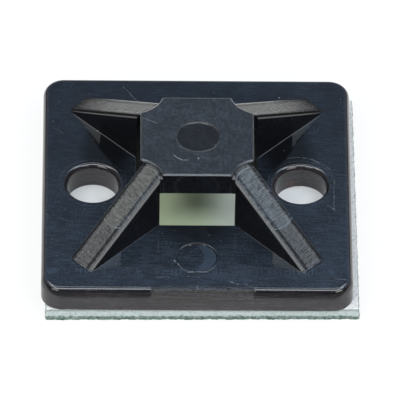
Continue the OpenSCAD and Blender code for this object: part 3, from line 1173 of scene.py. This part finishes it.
    def mark_zones(self, shell: bpy.types.Object) -> None:
        """Stores on each point how far it belongs to the plate's top and to a rib's top."""
        mesh = shell.data
        flat = np.empty(len(mesh.vertices) * 3, np.float32)
        mesh.vertices.foreach_get("co", flat)
        x, y, z = (flat.reshape(-1, 3) / MM).T
        ground = (z > self.crown - 0.2).astype(np.float32)
        reach = (np.abs(x) + np.abs(y)) * math.sqrt(0.5)
        line = self.top + self.rib_rise - self.rib_fall * (reach - self.hollow_reach)
        on_rib = (reach > self.hollow_reach - 0.1) & (reach < self.rib_reach + 0.1)
        on_rib &= z < self.crown - 0.2
        near = np.clip(1 - (line - z - 0.2) / 0.1, 0, 1) * (z > self.top + 0.03)
        tooled = np.where(on_rib, near, 0).astype(np.float32)
        for name, values in (("ground", ground), ("tooled", tooled)):
            mesh.attributes.new(name, "FLOAT", "POINT").data.foreach_set("value", values)


@dataclass(frozen=True)
class TornEdge:
    """A hand-cut edge that wanders a little.

    With run = 2 pi s / wave at a distance s along the edge, the wander is
    size * (0.6 sin(run) + 0.4 sin(run / 0.37 + 1) + 0.5 sin(run / 3.1 + 2) - 1.5),
    so the edge stays inside its outline.

    Attributes:
        size: How far the edge wanders, in millimetres.
        wave: Length of its main wave.
    """

    size: float
    wave: float

    def along(self, outline: Outline) -> Outline:
        """The outline with its points moved in and out along their normals."""
        step = np.linalg.norm(np.roll(outline.points, -1, axis=0) - outline.points, axis=1)
        run = 2 * math.pi * (np.cumsum(step) - step) / self.wave
        wander = 0.6 * np.sin(run) + 0.4 * np.sin(run / 0.37 + 1) + 0.5 * np.sin(run / 3.1 + 2)
        shift = self.size * (wander - 1.5)[:, None]
        return Outline(outline.points + shift * outline.normals, outline.normals)


def hand_cut(corners: tuple, edge: TornEdge) -> Outline:
    """Outline of a sheet cut by hand: tight round corners and an edge that wanders."""
    return edge.along(filleted(np.array(corners), np.full(4, 0.12), 4, 280))


@dataclass
class FoamPad:
    """The double-sided foam pad under the moulding."""

    corners: tuple = ((14.38, 13.95), (-13.62, 13.95), (-13.6, -14.02), (14.6, -13.72))
    splay: float = 0.1
    edge: TornEdge = TornEdge(0.03, 0.9)
    finish: PaleFoam = field(default_factory=PaleFoam)

    def build(self) -> bpy.types.Object:
        """The pad as a mesh of its own."""
        low, high = box_mm("foam_pad")
        outline = hand_cut(self.corners, self.edge)
        side = walls(high[2] - low[2], 0.02, (0.06, 0.06), 4)
        side[:, 0] -= self.splay * (1 - side[:, 1] / side[-1, 1])
        pad = lofted("foam_pad_piece", stacked(outline, side, low[2]))
        smoothed(pad, 40)
        pad.data.materials.append(self.finish.material())
        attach(pad, BODY)
        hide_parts("foam_pad")
        return pad


@dataclass
class ReleaseLiner:
    """The release paper on the underside of the pad."""

    corners: tuple = ((14.46, 14.0), (-13.66, 14.0), (-13.68, -14.16), (14.7, -13.84))
    edge: TornEdge = TornEdge(0.045, 1.25)
    finish: LinerPaper = field(default_factory=LinerPaper)

    def build(self) -> bpy.types.Object:
        """The liner as a mesh of its own."""
        low, high = box_mm("release_liner")
        outline = hand_cut(self.corners, self.edge)
        side = walls(high[2] - low[2], 0.02, (0.02, 0.02), 3)
        liner = lofted("release_liner_piece", stacked(outline, side, low[2]))
        smoothed(liner, 40)
        liner.data.materials.append(self.finish.material())
        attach(liner, BODY)
        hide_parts("release_liner")
        return liner


# ---------------------------------------------------------------------------------------
# Studio
# ---------------------------------------------------------------------------------------


@dataclass(frozen=True)
class Lamp:
    """A soft box that faces the mount.

    Attributes:
        name: Name of the lamp.
        azimuth: Direction it stands in, in degrees: 0 is in front, 90 to the right.
        elevation: Height above the horizon, in degrees.
        distance: Distance from the mount, in metres.
        size: Width and height, in metres.
        radiance: Brightness of its face, where 1 is white.
        colour: Tint.
    """

    name: str
    azimuth: float
    elevation: float
    distance: float
    size: tuple
    radiance: float
    colour: tuple = (1.0, 1.0, 1.0)

    def build(self) -> None:
        """Adds the lamp. An area light's power is pi * area * radiance."""
        data = bpy.data.lights.new(self.name, "AREA")
        data.shape = "RECTANGLE"
        data.size, data.size_y = self.size
        data.energy = math.pi * self.size[0] * self.size[1] * self.radiance
        data.color = self.colour
        lamp = bpy.data.objects.new(self.name, data)
        away = heading(self.azimuth, self.elevation)
        lamp.location = away * self.distance
        lamp.rotation_mode = "QUATERNION"
        lamp.rotation_quaternion = away.to_track_quat("Z", "Y")
        bpy.context.scene.collection.objects.link(lamp)


def heading(azimuth: float, elevation: float) -> Vector:
    """Unit vector towards a point at an azimuth and elevation, where azimuth 0 is in front."""
    a, e = math.radians(azimuth), math.radians(elevation)
    return Vector((math.sin(a) * math.cos(e), -math.cos(a) * math.cos(e), math.sin(e)))


@dataclass
class Studio:
    """White floor, soft lamps, world light and the camera."""

    elevation: float = 43.46
    azimuth: float = -0.82
    roll: float = 0.93
    distance: float = 0.8263
    lens: float = 818.5
    target_z: float = 3.7
    aim_right: float = 0.288
    aim_down: float = 1.515
    lamps: tuple = (
        Lamp("soft_front", 0, 58.5, 1.5, (1.9, 0.42), 6.0, (0.88, 0.95, 1.0)),
        Lamp("soft_top", 180, 87, 1.5, (1.7, 0.3), 3.0, (0.92, 0.97, 1.0)),
        Lamp("low_left", -37, 25, 1.5, (0.9, 0.55), 3.2, (1.0, 0.98, 0.92)),
        Lamp("low_right", 37, 25, 1.5, (0.9, 0.55), 3.2, (1.0, 0.98, 0.92)),
        Lamp("fill_left", -67, 53, 1.5, (0.8, 0.26), 2.0, (0.95, 0.98, 1.0)),
        Lamp("fill_right", 67, 53, 1.5, (0.8, 0.26), 2.0, (0.88, 0.94, 1.0)),
        Lamp("soft_left", -98, 58, 1.5, (1.1, 0.47), 2.6, (0.97, 1.0, 0.97)),
        Lamp("soft_right", 98, 58, 1.5, (1.1, 0.47), 3.0, (0.78, 0.9, 1.0)),
    )
    sky: tuple = (
        (0.0, (0.06, 0.055, 0.055, 1.0)),
        (0.1, (0.07, 0.065, 0.065, 1.0)),
        (0.3, (0.34, 0.33, 0.34, 1.0)),
        (0.55, (0.26, 0.31, 0.4, 1.0)),
        (0.66, (0.14, 0.18, 0.25, 1.0)),
        (0.8, (0.06, 0.08, 0.12, 1.0)),
        (1.0, (0.06, 0.08, 0.12, 1.0)),
    )

    def build(self) -> None:
        """Adds everything that isn't part of the mount."""
        self.floor()
        self.light()
        self.camera()

    def floor(self) -> None:
        """A wide white floor that stays white to the eye and keeps a soft shadow."""
        half = 2.0
        mesh = bpy.data.meshes.new("floor")
        corners = [(-half, -half, 0), (half, -half, 0), (half, half, 0), (-half, half, 0)]
        mesh.from_pydata(corners, [], [(0, 1, 2, 3)])
        floor = bpy.data.objects.new("floor", mesh)
        floor.location.z = -0.00002
        bpy.context.scene.collection.objects.link(floor)
        paint = Paint("floor_white")
        paint.set(Base_Color=(0.9, 0.9, 0.9, 1.0), Roughness=1.0)
        paint.shader.inputs["Specular IOR Level"].default_value = 0.0
        ray = paint.node("LightPath", {})
        y = paint.axes(paint.place())[1]
        # Painted reflection: to glossy rays the floor's glow fades to dark in front of the mount, as
        # painted shade, and grows behind it, as painted light.
        front = paint.both(paint.span(y, -18.0, -16.2, 0.1, 0.85), paint.span(y, 0.0, 12.0, 1.0, 1.4))
        gloss = paint.both(ray.outputs["Is Glossy Ray"], front)
        seen = paint.either(ray.outputs["Is Camera Ray"], ray.outputs["Is Transmission Ray"])
        paint.tree.links.new(paint.either(seen, gloss), glow_in(paint))
        share = paint.either(seen, ray.outputs["Is Glossy Ray"])
        share = paint.both(share, 0.86)
        paint.tree.links.new(share, paint.tree.nodes["Blend"].inputs[0])
        mesh.materials.append(paint.material)

    def light(self) -> None:
        """The lamps, and a dim world that the eye sees as white."""
        for lamp in self.lamps:
            lamp.build()
        world = bpy.data.worlds.new("studio")
        bpy.context.scene.world = world
        world.use_nodes = True
        nodes, links = world.node_tree.nodes, world.node_tree.links
        background = nodes["Background"]
        ray = nodes.new("ShaderNodeLightPath")
        where = nodes.new("ShaderNodeTexCoord")
        split = nodes.new("ShaderNodeSeparateXYZ")
        ramp = nodes.new("ShaderNodeValToRGB")
        stops = ramp.color_ramp.elements
        for place, colour in self.sky[1:-1]:
            stops.new(place).color = colour
        stops[0].color, stops[-1].color = self.sky[0][1], self.sky[-1][1]
        behind = nodes.new("ShaderNodeMapRange")
        for name, value in (("From Min", -0.3), ("From Max", 0.3), ("To Min", 0.3), ("To Max", 1.0)):
            behind.inputs[name].default_value = value
        links.new(split.outputs[1], behind.inputs["Value"])
        links.new(behind.outputs[0], background.inputs["Strength"])
        shade = nodes.new("ShaderNodeMix")
        shade.data_type = "RGBA"
        shade.inputs[7].default_value = (1, 1, 1, 1)
        links.new(where.outputs["Generated"], split.inputs[0])
        links.new(split.outputs[2], ramp.inputs[0])
        links.new(ramp.outputs[0], shade.inputs[6])
        links.new(ray.outputs["Is Camera Ray"], shade.inputs[0])
        links.new(shade.outputs[2], background.inputs["Color"])

    def camera(self) -> None:
        """A long lens, aimed so that the mount stands a little above the middle."""
        back = heading(self.azimuth, self.elevation)
        right = Vector((0, 0, 1)).cross(back).normalized()
        up = back.cross(right)
        r = math.radians(self.roll)
        across = right * math.cos(r) + up * math.sin(r)
        down = right * math.sin(r) - up * math.cos(r)
        target = Vector((0, 0, self.target_z * MM))
        spot = target + back * self.distance
        aim = target + (across * self.aim_right + down * self.aim_down) * MM
        back = (spot - aim).normalized()
        across = (across - back * across.dot(back)).normalized()
        data = bpy.data.cameras.new("camera")
        data.lens = self.lens
        data.sensor_width = 36.0
        data.clip_start, data.clip_end = 0.05, 10.0
        camera = bpy.data.objects.new("camera", data)
        turn = Matrix((across, back.cross(across), back)).transposed()
        camera.matrix_world = Matrix.LocRotScale(spot, turn, None)
        bpy.context.scene.collection.objects.link(camera)
        bpy.context.scene.camera = camera


def glow_in(paint: Paint) -> Socket:
    """Adds a white glow that is mixed over a paint's shader, and gives its strength input."""
    glow = paint.node("Emission", {"Color": (1, 1, 1, 1)})
    both = paint.node("MixShader", {1: paint.shader.outputs[0], 2: glow.outputs[0]}, name="Blend")
    paint.tree.links.new(both.outputs[0], paint.output.inputs["Surface"])
    return glow.inputs["Strength"]


def report(piece: bpy.types.Object) -> None:
    """Logs a piece's name and its number of faces."""
    LOG.info("%s: %d faces", piece.name, len(piece.data.polygons))


def main() -> None:
    """Builds the mount and the studio."""
    logging.basicConfig(level=logging.INFO, format="%(name)s %(message)s")
    bpy.context.scene.view_settings.view_transform = "Standard"
    for part in (MouldedBody(), FoamPad(), ReleaseLiner()):
        report(part.build())
    Studio().build()
    bpy.context.view_layer.update()


if __name__ == "__main__":
    main()
